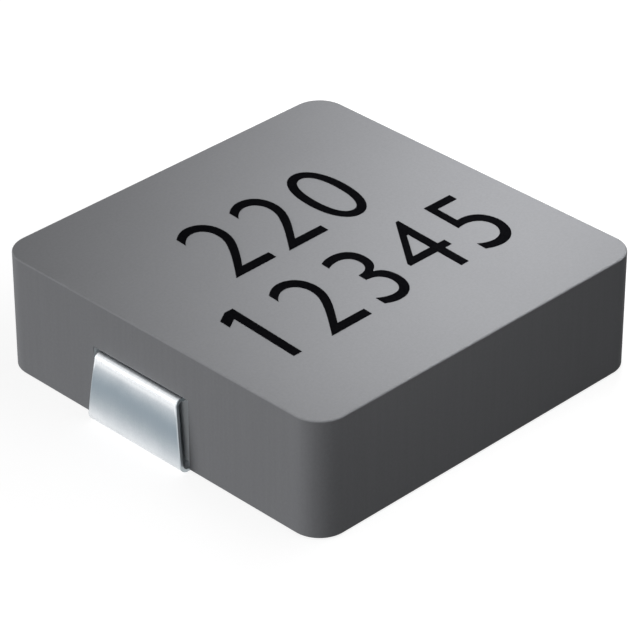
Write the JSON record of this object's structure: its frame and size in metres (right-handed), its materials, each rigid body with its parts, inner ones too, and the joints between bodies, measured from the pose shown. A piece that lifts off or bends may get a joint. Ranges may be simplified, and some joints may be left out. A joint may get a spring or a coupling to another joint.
{
  "type": "shielded smd inductor",
  "caption": "Square moulded surface-mount power inductor with a flat-wire coil inside and folded sheet terminals.",
  "frame": {"origin": "on the board, under the middle of the part: the undersides of both feet lie in the plane z = 0", "axes": "+X from the left terminal to the right one, which is also the way the marking reads; +Y up the marking; +Z away from the board"},
  "size_m": [0.0104, 0.01, 0.003],
  "materials": {
    "composite": "satin",
    "copper_wire": "satin",
    "tin_plate": "satin",
    "ink": "matt"
  },
  "bodies": {
    "root": {"moulded_body": "composite", "coil": "copper_wire", "terminal_left": "tin_plate", "terminal_right": "tin_plate"}
  },
  "joints": []
}
